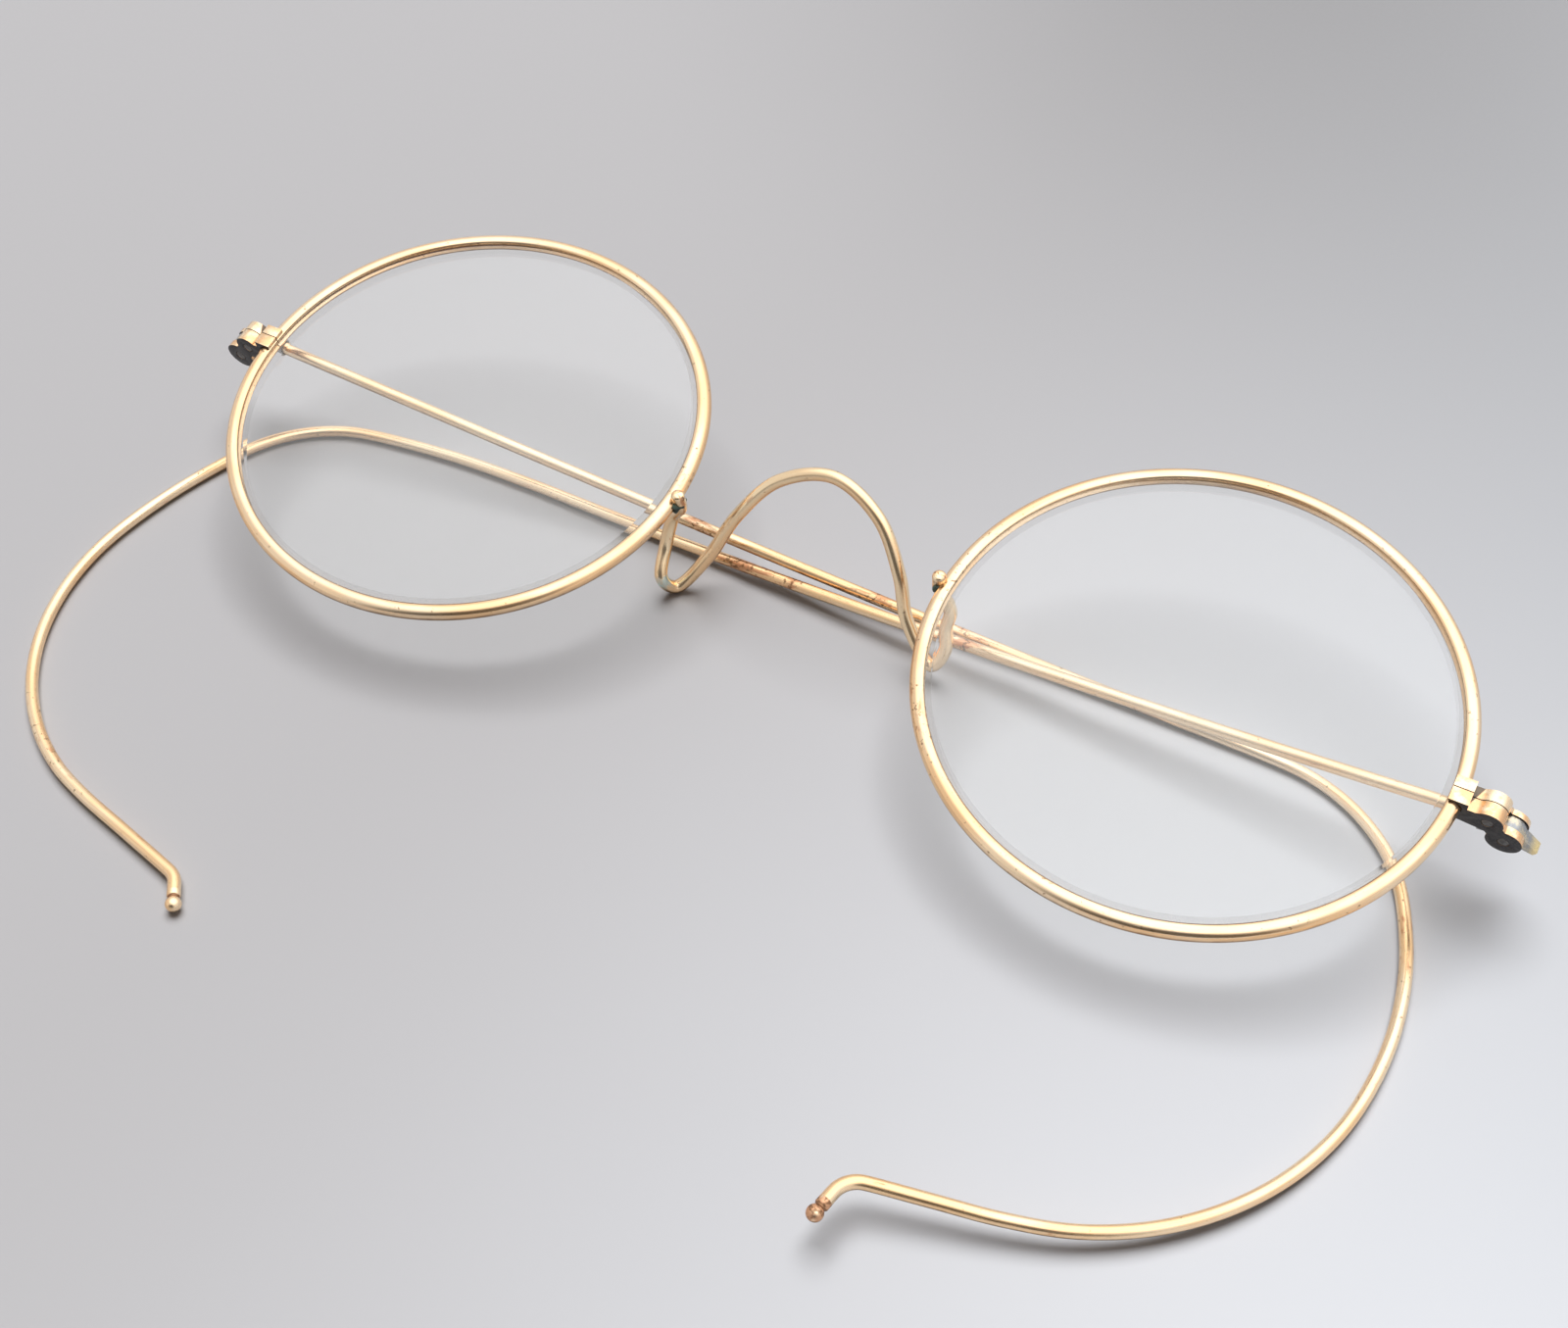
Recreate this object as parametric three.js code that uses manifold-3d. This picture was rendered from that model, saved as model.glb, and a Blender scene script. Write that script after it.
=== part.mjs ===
// Round wire spectacles with a saddle bridge and hooked wire sides, lying folded with the front up.
// Millimetres. The pieces are drawn with the lens plane as XY: +X right as seen from the front,
// +Y up as worn, +Z forward. They then lean as they lie on the table, with the origin in the middle
// of the footprint. Left and right are as seen from the front.
import * as THREE from "three";
import { mergeVertices } from "three/addons/utils/BufferGeometryUtils.js";
import Module from "manifold-3d";

const wasm = await Module();
wasm.setup();

// Eye wires: an oval of grooved wire, split at the hinge side
const lensCentres = 63.8;
const rimHalfWidth = 20;
const rimHalfHeight = 19.2;
const rimOutside = 0.7;
const rimInside = 0.45;
const rimHalfDepth = 0.65;
const grooveHalfWidth = 0.3;
const grooveDepth = 0.43;
const rimSplit = 0.08;
const rimSegments = 72;

// Lenses: flat behind, domed in front, with a bevelled edge in the groove
const lensPlay = 0.12;
const lensEdge = 1.1;
const lensDome = 0.55;
const bevelLength = 0.79;

// How the folded spectacles lie: the room behind the middle of the lens plane, and the angle between
// that plane and the table, with the top of the lenses up, because both hooks are bent inwards
const lensHeight = 9.7;
const leanAngle = 12;

// Bridge: one wire from rim to rim, with a foot that loops back on each side of a forward crest.
// A station is X from the middle, Y and Z. The halves differ, as it is bent by hand.
const bridgeWire = 1.1;
const bridgeEndForward = 0.95;
const bridgeEndInset = 0.75;
const crest = [0, 5.28, 2.29];
const shoulder = [4.4, 4.07, 0.92];
const upperLeg = [7.28, 1.64, -2.27];
const leftHalf = {
  lowerLeg: [9.28, -0.81, -6.2],
  foot: [11.27, -3.26, -8.4],
  loop: [12.07, -3.84, -6.8],
  outerLeg: [12.52, -1.8, -5.04],
  turn: [12.1, -0.4, -2.35],
  end: -0.5,
};
const rightHalf = {
  lowerLeg: [8.6, -0.1, -5.3],
  foot: [11.49, -1.78, -7.8],
  loop: [12.31, -0.83, -6.3],
  outerLeg: [12.0, 0.12, -4.5],
  turn: [12.15, 0.63, -3.0],
  end: 1.0,
};

// Endpieces: two halves, each with a closing lobe and a hinge lobe, and a tab over the front of the rim
const upperHeight = 0.95;
const lowerHeight = 1.15;
const closingOut = 2.6;
const closingBack = 0.42;
const closingRadius = 1.15;
const hingeOut = 4.07;
const hingeBack = 2.15;
const hingeRadius = 1.3;
const waistWidth = 1.5;
const neckFront = 0.35;
const neckBack = 1.3;
const neckInside = 0.2;
const tabReach = 0.4;
const tabFront = 0.95;
const tabLength = 1.05;
const recess = 0.55;
const seatPlay = 0.08;

// Screws: one closes the rim, one is the hinge pin
const screwRadius = 0.42;
const screwHeadRadius = 0.68;
const screwHeadHeight = 0.3;
const screwSlot = 0.18;
const screwPlay = 0.05;

// Joints of the sides: an eye in the hinge slot, a heel outside it and a tapered socket for the wire
const eyeRadius = 1.2;
const eyeHeight = 0.9;
const eyePlay = 0.06;
const heelAngle = 29;
const heelRoot = 1.92;
const heelTip = 0.5;
const armWidth = 0.9;
const armLap = 0.5;
const socketStart = 1.6;
const socketEnd = 3.1;
const socketSmall = 0.55;
const socketLarge = 0.7;
const socketDepth = 0.9;

// Sides: springy wire, bowed, with an ear hook of three or four arcs and a turned-out tip.
// Each has its own seam height, inset of the hinge and rise of the wire over the hinge.
const sideWire = 1.0;
const tipBend = 2.0;
const liftShare = 0.4;
const bowSteps = 10;
const stepAngle = 11;
const rightSide = {
  seam: -0.2,
  inset: 0,
  heelReach: 2.6,
  rise: 0.56,
  bendAt: 29.0,
  bendRise: 1.57,
  bow: 0.03,
  arcRadii: [79.6, 11.7, 43.1, 21.7],
  arcAngles: [11.3, 56.4, 17, 82.7],
  end: 10.73,
  tipAngle: 38.8,
  tipLength: 0.75,
  lift: 0.2,
};
const leftSide = {
  seam: 0.1,
  inset: 0.3,
  heelReach: 2.0,
  rise: 1.18,
  bendAt: 38.8,
  bendRise: 2.31,
  bow: 0.64,
  arcRadii: [13.8, 29.3, 23.2],
  arcAngles: [63, 36.1, 66.8],
  end: 8.75,
  tipAngle: 67.5,
  tipLength: 0.76,
  lift: 2.5,
};

// Ball ends, turned with a neck
const ballRadius = 0.6;
const ballNeck = 0.38;
const ballCollar = 0.53;
const collarLength = 0.35;
const collarTaper = 0.1;
const neckLength = 0.3;

// Derived places
const nasal = lensCentres / 2 - rimHalfWidth;
const temporal = lensCentres / 2 + rimHalfWidth;
const lean = THREE.MathUtils.degToRad(leanAngle);
const slotHalf = eyeHeight / 2 + eyePlay;
const roundSides = 16;

const gold = { color: 0xd8b878, metalness: 1, roughness: 0.24 };
const wornGold = { color: 0xc99a6a, metalness: 1, roughness: 0.32 };
const steel = { color: 0x6f6d68, metalness: 1, roughness: 0.4 };
const glass = { color: 0xe6eaec, metalness: 0, roughness: 0.03, transparent: true, opacity: 0.3 };

// A curve whose rings fall on its own parameter, so that they are closer where its points are closer.
class StationCurve extends THREE.CatmullRomCurve3 {
  getUtoTmapping(u) {
    return u;
  }
}

// A stretch of an oval in the lens plane, between two angles.
class OvalArc extends THREE.Curve {
  constructor(centreX, halfWidth, halfHeight, start, end) {
    super();
    Object.assign(this, { centreX, halfWidth, halfHeight, start, end });
  }

  getPoint(t, target = new THREE.Vector3()) {
    const angle = THREE.MathUtils.lerp(this.start, this.end, t);
    return target.set(this.centreX + this.halfWidth * Math.cos(angle), this.halfHeight * Math.sin(angle), 0);
  }

  getUtoTmapping(u) {
    return u;
  }
}

function toSolid(geometry) {
  geometry.deleteAttribute("normal");
  geometry.deleteAttribute("uv");
  const merged = mergeVertices(geometry);
  const vertProperties = new Float32Array(merged.attributes.position.array);
  const triVerts = new Uint32Array(merged.index.array);
  return new wasm.Manifold(new wasm.Mesh({ numProp: 3, vertProperties, triVerts }));
}

function toGeometry(solid) {
  const mesh = solid.getMesh();
  const geometry = new THREE.BufferGeometry();
  geometry.setAttribute("position", new THREE.BufferAttribute(mesh.vertProperties, 3));
  geometry.setIndex(new THREE.BufferAttribute(mesh.triVerts, 1));
  return geometry;
}

function polygon(radius, sides) {
  const corner = (i) => ((i + 0.5) / sides) * 2 * Math.PI;
  const points = Array.from({ length: sides }, (_, i) => [Math.cos(corner(i)), Math.sin(corner(i))]);
  return new THREE.Shape(points.map(([x, y]) => new THREE.Vector2(radius * x, radius * y)));
}

function sweep(section, curve, steps) {
  return new THREE.ExtrudeGeometry(section, { steps, extrudePath: curve, bevelEnabled: false });
}

// A plate with its outline in XZ, from one height to another along Y.
function plate(outline, bottom, top) {
  const shape = new THREE.Shape(outline.map(([x, z]) => new THREE.Vector2(x, z)));
  const geometry = new THREE.ExtrudeGeometry(shape, { depth: top - bottom, bevelEnabled: false });
  geometry.rotateX(Math.PI / 2);
  geometry.translate(0, top, 0);
  return toSolid(geometry);
}

// A disc with its axis along Y, over a place in XZ.
function disc({ x, z }, radius, bottom, top, sides = 32) {
  const geometry = new THREE.CylinderGeometry(radius, radius, top - bottom, sides);
  geometry.translate(x, (bottom + top) / 2, z);
  return toSolid(geometry);
}

// A straight bar between two points of the XZ plane.
function bar([x0, z0], [x1, z1], width0, width1, bottom, top) {
  const across = new THREE.Vector2(z0 - z1, x1 - x0).normalize();
  const corner = (x, z, offset) => [x + across.x * offset, z + across.y * offset];
  const outline = [
    corner(x0, z0, -width0 / 2),
    corner(x1, z1, -width1 / 2),
    corner(x1, z1, width1 / 2),
    corner(x0, z0, width0 / 2),
  ];
  return plate(outline, bottom, top);
}

function mirrored(geometry) {
  const copy = geometry.index ? geometry.toNonIndexed() : geometry.clone();
  copy.scale(-1, 1, 1);
  const flipped = copy.attributes.position;
  for (let i = 0; i < flipped.count; i += 3) {
    const [x, y, z] = [flipped.getX(i), flipped.getY(i), flipped.getZ(i)];
    flipped.setXYZ(i, flipped.getX(i + 1), flipped.getY(i + 1), flipped.getZ(i + 1));
    flipped.setXYZ(i + 1, x, y, z);
  }
  const bare = new THREE.BufferGeometry();
  bare.setAttribute("position", flipped);
  return mergeVertices(bare);
}

// The wire's section: X runs front to back and Y towards the lens.
function rimSection(grow, grooved) {
  const outerSteps = 8;
  const shape = new THREE.Shape();
  for (let i = 0; i <= outerSteps; i += 1) {
    const angle = Math.PI * (1 + i / outerSteps);
    const x = (rimHalfDepth + grow) * Math.cos(angle);
    const y = (rimOutside + grow) * Math.sin(angle);
    if (i === 0) shape.moveTo(x, y);
    else shape.lineTo(x, y);
  }
  shape.lineTo(rimHalfDepth + grow, rimInside / 2);
  shape.lineTo(grooveHalfWidth + (rimHalfDepth - grooveHalfWidth) / 2 + grow, rimInside + grow);
  if (grooved) {
    shape.lineTo(grooveHalfWidth, rimInside);
    shape.lineTo(0, rimInside - grooveDepth);
    shape.lineTo(-grooveHalfWidth, rimInside);
  }
  shape.lineTo(-grooveHalfWidth - (rimHalfDepth - grooveHalfWidth) / 2 - grow, rimInside + grow);
  shape.lineTo(-rimHalfDepth - grow, rimInside / 2);
  return shape;
}

function rimArc(start, end) {
  return new OvalArc(lensCentres / 2, rimHalfWidth, rimHalfHeight, start, end);
}

function eyeWire(side) {
  const seam = Math.asin(side.seam / rimHalfHeight);
  const halfSplit = rimSplit / 2 / rimHalfHeight;
  return sweep(rimSection(0, true), rimArc(seam + halfSplit, seam + 2 * Math.PI - halfSplit), rimSegments);
}

// The room that the rim takes near one angle, for what is fitted to it.
function rimRoom(angle) {
  const reach = Math.PI / 12;
  return toSolid(sweep(rimSection(seatPlay, false), rimArc(angle - reach, angle + reach), 12));
}

function lens() {
  const tip = rimHalfWidth - (rimInside - grooveDepth) - lensPlay;
  const land = tip - bevelLength;
  const domeSteps = 5;
  const profile = [
    new THREE.Vector2(0, -lensEdge / 2),
    new THREE.Vector2(land, -lensEdge / 2),
    new THREE.Vector2(tip, 0),
  ];
  for (let i = 0; i <= domeSteps; i += 1) {
    const radius = land * (1 - i / domeSteps);
    profile.push(new THREE.Vector2(radius, lensEdge / 2 + lensDome * (1 - (radius / land) ** 2)));
  }
  const geometry = new THREE.LatheGeometry(profile, rimSegments);
  geometry.rotateX(Math.PI / 2);
  geometry.scale(1, (tip - rimHalfWidth + rimHalfHeight) / tip, 1);
  geometry.translate(lensCentres / 2, 0, 0);
  return toGeometry(toSolid(geometry));
}

// Half of the bridge's course, from beside the crest out to the end on the rim.
function bridgeHalf(half) {
  const stations = [shoulder, upperLeg, half.lowerLeg, half.foot, half.loop, half.outerLeg, half.turn];
  return [
    ...stations.map((station) => new THREE.Vector3(...station)),
    new THREE.Vector3(nasal - bridgeEndInset, half.end, -rimHalfDepth),
    new THREE.Vector3(nasal - bridgeEndInset, half.end, bridgeEndForward),
  ];
}

function bridge() {
  const left = bridgeHalf(leftHalf).map((point) => point.setX(-point.x)).reverse();
  const points = [...left, new THREE.Vector3(...crest), ...bridgeHalf(rightHalf)];
  const curve = new StationCurve(points, false, "centripetal");
  const wire = toSolid(sweep(polygon(bridgeWire / 2, 10), curve, (points.length - 1) * 4));
  const seat = toGeometry(rimRoom(Math.PI));
  return toGeometry(wire.subtract(toSolid(seat.clone())).subtract(toSolid(mirrored(seat))));
}

// Where the closing screw and the hinge pin of a side stand, in the right side's sense.
function closingOf(side) {
  return new THREE.Vector3(temporal + closingOut - side.inset, side.seam, -closingBack);
}

function pinOf(side) {
  return new THREE.Vector3(temporal + hingeOut - side.inset, side.seam, -hingeBack);
}

// The upper or lower half of an endpiece, between the seam and its outer face.
function endpieceHalf(side, upper) {
  const closing = closingOf(side);
  const pin = pinOf(side);
  const height = upper ? upperHeight : lowerHeight;
  const between = (inner, outer) => {
    const [near, far] = upper ? [inner, outer] : [-outer, -inner];
    return [side.seam + near, side.seam + far];
  };
  const full = between(rimSplit / 2, height);
  const outerPlate = between(slotHalf, height);
  const slot = between(-height, slotHalf);
  const through = between(-height, height * 2);
  const neckOutline = [
    [temporal + neckInside, -neckBack],
    [closing.x, closing.z - closingRadius],
    [closing.x, closing.z + closingRadius],
    [temporal + tabLength + recess, neckFront],
    [temporal + tabLength, neckFront],
    [temporal + tabLength, tabFront],
    [temporal - tabReach, tabFront],
    [temporal - tabReach, neckFront],
  ];
  const lobe = disc(pin, hingeRadius, ...outerPlate);
  const waist = bar([closing.x, closing.z], [pin.x, pin.z], waistWidth, waistWidth, ...outerPlate);
  const core = plate(neckOutline, ...full).add(disc(closing, closingRadius, ...full));
  const eyeRoom = disc(pin, eyeRadius + eyePlay * 2, ...slot);
  let half = core.subtract(eyeRoom).add(lobe).add(waist).subtract(rimRoom(0));
  for (const hole of [closing, pin]) {
    half = half.subtract(disc(hole, screwRadius + screwPlay, ...through, roundSides));
    if (upper) {
      const head = [side.seam + upperHeight - screwHeadHeight - screwPlay, side.seam + upperHeight * 2];
      half = half.subtract(disc(hole, screwHeadRadius + screwPlay, ...head, roundSides));
    }
  }
  return toGeometry(half);
}

// A flush slotted screw through both halves.
function screw(place) {
  const top = place.y + upperHeight;
  const bottom = place.y - lowerHeight;
  const shaft = disc(place, screwRadius, bottom, top - screwHeadHeight / 2, roundSides);
  const head = disc(place, screwHeadRadius, top - screwHeadHeight, top, roundSides);
  const slotEnds = [-screwHeadRadius * 2, screwHeadRadius * 2].map((offset) => [place.x + offset, place.z]);
  const cut = bar(...slotEnds, screwSlot, screwSlot, top - screwSlot, top + screwSlot);
  return toGeometry(shaft.add(head).subtract(cut));
}

// The Z of a side's wire that lies on the table, at a height up the front.
function restAt(y) {
  return sideWire / 2 / Math.cos(lean) - lensHeight - y * Math.tan(lean);
}

// The bowed stretch of a side, from the pin to the bend, in the right side's sense. Run is measured along X.
function sideLength(side) {
  return pinOf(side).x + side.bendAt;
}

function bowPoint(side, run) {
  const pin = pinOf(side);
  const share = run / sideLength(side);
  const rise = THREE.MathUtils.lerp(side.rise, side.bendRise, share) + side.bow * 4 * share * (1 - share);
  const y = pin.y + rise;
  return new THREE.Vector3(pin.x - run, y, THREE.MathUtils.lerp(restAt(y), pin.z, (1 - share) ** 2));
}

// How fast the bowed stretch rises, at the pin or at the bend.
function bowSlope(side, atPin) {
  return (side.bendRise - side.rise + (atPin ? 4 : -4) * side.bow) / sideLength(side);
}

function bowTangent(side) {
  const pin = pinOf(side);
  const fall = (2 * (restAt(pin.y + side.rise) - pin.z)) / sideLength(side);
  return new THREE.Vector3(-1, bowSlope(side, true), fall).normalize();
}

function bendLength(size, turn) {
  return turn === 0 ? size : size * THREE.MathUtils.degToRad(Math.abs(turn));
}

// The course of a side's wire in the right side's sense.
function sideCourse(side) {
  const points = [];
  const wireStart = socketEnd - socketDepth;
  for (let i = 0; i < bowSteps; i += 1) {
    points.push(bowPoint(side, THREE.MathUtils.lerp(wireStart, sideLength(side), i / bowSteps)));
  }
  const place = new THREE.Vector2(-side.bendAt, side.seam + side.bendRise);
  let heading = Math.PI - Math.atan(bowSlope(side, false));
  const arcs = side.arcRadii.map((radius, i) => [radius, side.arcAngles[i]]);
  const bends = [...arcs, [side.end, 0], [tipBend, -side.tipAngle], [side.tipLength, 0]];
  const hookLength = bends.reduce((sum, [size, turn]) => sum + bendLength(size, turn), 0);
  let along = 0;
  const addPoint = () => {
    const share = Math.max(0, along / hookLength - liftShare) / (1 - liftShare);
    points.push(new THREE.Vector3(place.x, place.y, restAt(place.y) + side.lift * share ** 2));
  };
  addPoint();
  for (const [size, turn] of bends) {
    const steps = Math.max(2, Math.round(Math.abs(turn) / stepAngle));
    const length = bendLength(size, turn);
    for (let i = 0; i < steps; i += 1) {
      const half = THREE.MathUtils.degToRad(turn) / steps / 2;
      const chord = turn === 0 ? length / steps : 2 * size * Math.sin(Math.abs(half));
      heading += half;
      place.add(new THREE.Vector2(chord * Math.cos(heading), chord * Math.sin(heading)));
      heading += half;
      along += length / steps;
      addPoint();
    }
  }
  return points;
}

function sideCurve(side) {
  return new StationCurve(sideCourse(side), false, "centripetal");
}

function sideGeometry(side) {
  const curve = sideCurve(side);
  const wireSides = 8;
  return sweep(polygon(sideWire / 2, wireSides), curve, (curve.points.length - 1) * 2);
}

// A turned end: collar, neck and ball, along the wire's last direction.
function ballEnd(side) {
  const curve = sideCurve(side);
  const ballSteps = 7;
  const reach = Math.asin(ballNeck / ballRadius);
  const centre = collarLength + neckLength + ballRadius * Math.cos(reach);
  const profile = [
    new THREE.Vector2(0, 0),
    new THREE.Vector2(ballCollar, 0),
    new THREE.Vector2(ballCollar, collarLength),
    new THREE.Vector2(ballNeck, collarLength + collarTaper),
  ];
  for (let i = 0; i <= ballSteps; i += 1) {
    const angle = THREE.MathUtils.lerp(reach, Math.PI, i / ballSteps);
    const radius = i === ballSteps ? 0 : ballRadius * Math.sin(angle);
    profile.push(new THREE.Vector2(radius, centre - ballRadius * Math.cos(angle)));
  }
  const geometry = new THREE.LatheGeometry(profile, roundSides);
  const turn = new THREE.Quaternion().setFromUnitVectors(new THREE.Vector3(0, 1, 0), curve.getTangent(1));
  geometry.applyQuaternion(turn);
  geometry.translate(...curve.getPoint(1).toArray());
  return toGeometry(toSolid(geometry));
}

// A cone along the wire's first direction, from one distance to another from the pin.
function socketCone(side, from, to, fromRadius, toRadius) {
  const tangent = bowTangent(side);
  const middle = pinOf(side).addScaledVector(tangent, (from + to) / 2);
  const geometry = new THREE.CylinderGeometry(toRadius, fromRadius, to - from, roundSides);
  geometry.applyQuaternion(new THREE.Quaternion().setFromUnitVectors(new THREE.Vector3(0, 1, 0), tangent));
  geometry.translate(middle.x, middle.y + side.rise, middle.z);
  return toSolid(geometry);
}

function sideJoint(side) {
  const pin = pinOf(side);
  const tangent = bowTangent(side);
  const angle = THREE.MathUtils.degToRad(heelAngle);
  const heights = [pin.y - eyeHeight / 2, pin.y + eyeHeight / 2];
  const through = [pin.y - eyeHeight, pin.y + eyeHeight];
  const alongArm = (distance) => [pin.x + tangent.x * distance, pin.z + tangent.z * distance];
  const [armStart, armEnd] = [alongArm(socketStart), alongArm(socketStart + armLap)];
  const heelEnd = [pin.x + side.heelReach * Math.cos(angle), pin.z - side.heelReach * Math.sin(angle)];
  const eye = disc(pin, eyeRadius, ...heights);
  const arm = bar([pin.x, pin.z], armEnd, armWidth, armWidth, ...heights);
  const riser = bar(armStart, armEnd, armWidth, armWidth, heights[0], heights[1] + side.rise);
  const heel = bar([pin.x, pin.z], heelEnd, heelRoot, heelTip, ...heights);
  const socket = socketCone(side, socketStart, socketEnd, socketSmall, socketLarge);
  const boreRadius = sideWire / 2 + screwPlay;
  const bore = socketCone(side, socketEnd - socketDepth - seatPlay, socketEnd * 2, boreRadius, boreRadius);
  const hole = disc(pin, screwRadius + screwPlay, ...through, roundSides);
  return toGeometry(eye.add(arm).add(riser).add(heel).add(socket).subtract(bore).subtract(hole));
}

function piece(name, geometry, look) {
  geometry.rotateX(lean);
  const mesh = new THREE.Mesh(geometry, new THREE.MeshStandardMaterial(look));
  mesh.name = name;
  return mesh;
}

const spectacles = new THREE.Group();
spectacles.add(piece("bridge", bridge(), gold));

for (const [name, side] of [["right", rightSide], ["left", leftSide]]) {
  const place = (geometry) => (name === "right" ? geometry : mirrored(geometry));
  spectacles.add(
    piece(`${name}_eye_wire`, place(eyeWire(side)), gold),
    piece(`${name}_lens`, place(lens()), glass),
    piece(`${name}_upper_endpiece`, place(endpieceHalf(side, true)), gold),
    piece(`${name}_lower_endpiece`, place(endpieceHalf(side, false)), gold),
    piece(`${name}_rim_screw`, place(screw(closingOf(side))), steel),
    piece(`${name}_hinge_screw`, place(screw(pinOf(side))), steel),
    piece(`${name}_side_joint`, place(sideJoint(side)), wornGold),
    piece(`${name}_side_wire`, place(sideGeometry(side)), gold),
    piece(`${name}_ball_end`, place(ballEnd(side)), gold),
  );
}

const footprint = new THREE.Box3().setFromObject(spectacles);
const middle = footprint.getCenter(new THREE.Vector3());
spectacles.position.set(-middle.x, -middle.y, -footprint.min.z);

export default spectacles;
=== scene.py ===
"""Round wire spectacles lying folded on a table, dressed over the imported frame.

Sizes are in millimetres in the lens frame (X right as seen from the front, Y up as worn, Z forward),
and turn into the shared frame, in metres, through place().
"""
import math

import bmesh
import bpy
from mathutils import Matrix, Vector


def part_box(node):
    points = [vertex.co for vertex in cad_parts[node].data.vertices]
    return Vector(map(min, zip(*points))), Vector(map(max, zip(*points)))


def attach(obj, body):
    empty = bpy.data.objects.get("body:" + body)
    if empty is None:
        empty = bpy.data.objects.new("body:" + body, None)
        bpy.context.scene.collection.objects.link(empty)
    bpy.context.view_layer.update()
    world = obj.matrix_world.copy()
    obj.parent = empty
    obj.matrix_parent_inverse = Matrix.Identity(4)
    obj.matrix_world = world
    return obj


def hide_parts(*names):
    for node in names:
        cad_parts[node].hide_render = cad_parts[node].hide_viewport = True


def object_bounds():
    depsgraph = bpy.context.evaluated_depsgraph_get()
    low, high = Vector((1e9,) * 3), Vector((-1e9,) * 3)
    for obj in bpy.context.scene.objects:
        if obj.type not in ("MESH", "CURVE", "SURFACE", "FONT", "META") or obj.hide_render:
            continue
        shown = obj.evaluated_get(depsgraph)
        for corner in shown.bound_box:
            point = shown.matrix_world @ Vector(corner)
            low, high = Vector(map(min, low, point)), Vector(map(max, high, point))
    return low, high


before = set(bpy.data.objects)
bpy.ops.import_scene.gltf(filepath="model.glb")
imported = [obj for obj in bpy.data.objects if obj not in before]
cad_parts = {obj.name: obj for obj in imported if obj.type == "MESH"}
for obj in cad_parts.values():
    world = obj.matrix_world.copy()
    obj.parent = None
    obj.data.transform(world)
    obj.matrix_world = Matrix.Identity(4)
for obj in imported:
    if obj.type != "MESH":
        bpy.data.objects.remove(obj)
cad_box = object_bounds()
scene = bpy.context.scene

MM = 0.001

# Sizes shared with the solids
LENS_CENTRES = 63.8
RIM_HALF_WIDTH = 20.0
RIM_HALF_HEIGHT = 19.2
RIM_OUTSIDE = 0.7
RIM_INSIDE = 0.45
RIM_HALF_DEPTH = 0.65
GROOVE_HALF_WIDTH = 0.3
GROOVE_DEPTH = 0.43
RIM_SPLIT = 0.08
LENS_CLEARANCE = 0.12
LENS_TIP = RIM_HALF_WIDTH - (RIM_INSIDE - GROOVE_DEPTH) - LENS_CLEARANCE
LENS_EDGE = 1.1
LENS_DOME = 0.55
BEVEL_LENGTH = 0.79
LENS_HEIGHT = 9.7
LEAN = math.radians(12)
BRIDGE_WIRE = 1.1
BRIDGE_RUN = 58.6
BRIDGE_END_FORWARD = 0.95
BRIDGE_END_INSET = 0.75
CREST = (0, 5.28, 2.29)
SHOULDER = (4.4, 4.07, 0.92)
UPPER_LEG = (7.28, 1.64, -2.27)
LEFT_HALF = dict(
    stations=[(9.28, -0.81, -6.2), (11.27, -3.26, -8.4), (12.07, -3.84, -6.8), (12.52, -1.8, -5.04),
              (12.1, -0.4, -2.35)],
    end=-0.5,
)
RIGHT_HALF = dict(
    stations=[(8.6, -0.1, -5.3), (11.49, -1.78, -7.8), (12.31, -0.83, -6.3), (12.0, 0.12, -4.5),
              (12.15, 0.63, -3.0)],
    end=1.0,
)
TAB_LENGTH = 1.05
TAB_FRONT = 0.95
HINGE_OUT = 4.07
HINGE_BACK = 2.15
SOCKET_END = 3.1
SOCKET_DEPTH = 0.9
SIDE_WIRE = 1.0
TIP_BEND = 2.0
LIFT_SHARE = 0.4
BOW_STEPS = 10
STEP_ANGLE = 11
RIGHT = dict(
    name="right", sign=1, seam=-0.2, inset=0, rise=0.56, bend_at=29.0, bend_rise=1.57, bow=0.03,
    arcs=[(79.6, 11.3), (11.7, 56.4), (43.1, 17), (21.7, 82.7)], end=10.73, tip_turn=38.8, tip_length=0.75,
    lift=0.2,
)
LEFT = dict(
    name="left", sign=-1, seam=0.1, inset=0.3, rise=1.18, bend_at=38.8, bend_rise=2.31, bow=0.64,
    arcs=[(13.8, 63), (29.3, 36.1), (23.2, 66.8)], end=8.75, tip_turn=67.5, tip_length=0.76, lift=2.5,
)
BALL_RADIUS = 0.6
BALL_NECK = 0.38
BALL_COLLAR = 0.505
COLLAR_LENGTH = 0.45
NECK_LENGTH = 0.2

# Finer shapes: shares of the half depth and inside of a rim's flank, and the lip of its groove
RIM_FLANK = [(0.985, 0.3), (0.93, 0.6)]
LIP_OUT = 0.06
LIP_IN = 0.03
LIP_RISE = 0.87
# Rounded wire ends: turns, length and flat, the last two as shares of the radius
END_TURNS = (20, 40, 60, 75, 88)
END_LENGTH = 0.55
END_FLAT = 0.25
# The ball's collar and neck: shares of their lengths and radii
COLLAR_STRAIGHT = 0.9
COLLAR_RIM = 0.95
NECK_PROFILE = [(1.06, 0.4), (1, 0.7)]
# Painted shade in the ball's turned groove, given as a wear note, and how far it runs past the neck
GROOVE_SHADE = 3.0
GROOVE_END = 0.08
# Solder at the bridge's ends: how far its seat lies in, down and back, its half sizes and its swelling waves
SOLDER_IN = 0.62
SOLDER_DOWN = 0.12
SOLDER_BACK = 0.05
SOLDER_SIZE = (0.50, 0.74, 0.66)
SOLDER_TILT = 0.2
SOLDER_WAVES = [(0.1, (5, 2, 0)), (0.08, (0, 7, -3)), (0.06, (4, 0, 9))]
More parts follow.
